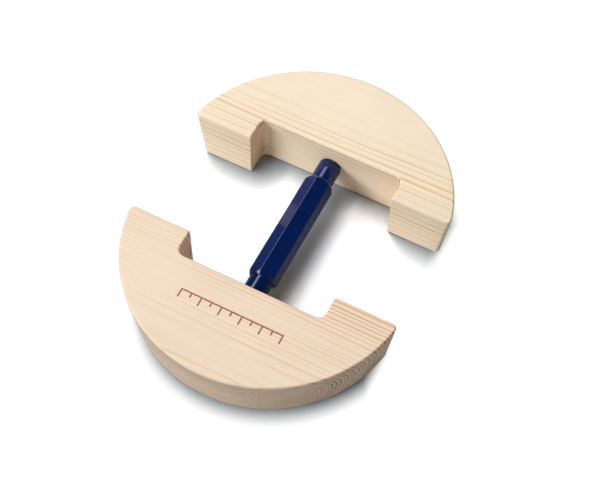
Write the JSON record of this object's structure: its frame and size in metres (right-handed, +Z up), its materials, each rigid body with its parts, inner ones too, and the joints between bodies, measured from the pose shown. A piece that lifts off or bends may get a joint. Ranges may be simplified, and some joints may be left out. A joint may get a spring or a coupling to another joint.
{
  "type": "hat stretcher",
  "caption": "Wooden hat stretcher: half-round tapered pine blocks that a painted hexagonal turnbuckle barrel on opposed threads pushes apart inside a hat.",
  "frame": {"origin": "on the table, at the middle of the closed stretcher's box", "axes": "+X along the flat faces of the blocks, +Y from the front block to the rear block along the barrel, +Z up from the table"},
  "size_m": [0.1606, 0.206, 0.035],
  "materials": {
    "pine": "fine sanded, bare",
    "insert_brass": "turned",
    "stud_steel": "zinc plated, rolled thread",
    "navy_paint": "gloss paint"
  },
  "bodies": {
    "studs": {"front_stud": "stud_steel", "rear_stud": "stud_steel"},
    "barrel": {"hex_barrel": "navy_paint"},
    "front_half": {"front_block": "pine", "front_insert": "insert_brass"},
    "rear_half": {"rear_block": "pine", "rear_insert": "insert_brass"}
  },
  "joints": [
    {"name": "barrel_turn", "type": "hinge", "parent": "studs", "child": "barrel", "pos_m": [0, 0.003, 0.0175], "axis": [0, 1, 0], "range_deg": [0, 3600]},
    {"name": "front_slide", "type": "slide", "parent": "studs", "child": "front_half", "axis": [0, -1, 0], "range_m": [0, 0.0125]},
    {"name": "rear_slide", "type": "slide", "parent": "studs", "child": "rear_half", "axis": [0, 1, 0], "range_m": [0, 0.0125]}
  ],
  "couplings": [
    {"joint": "barrel_turn", "follows": "front_slide", "rad_per_m": 5026.5},
    {"joint": "rear_slide", "follows": "front_slide", "ratio": 1}
  ]
}
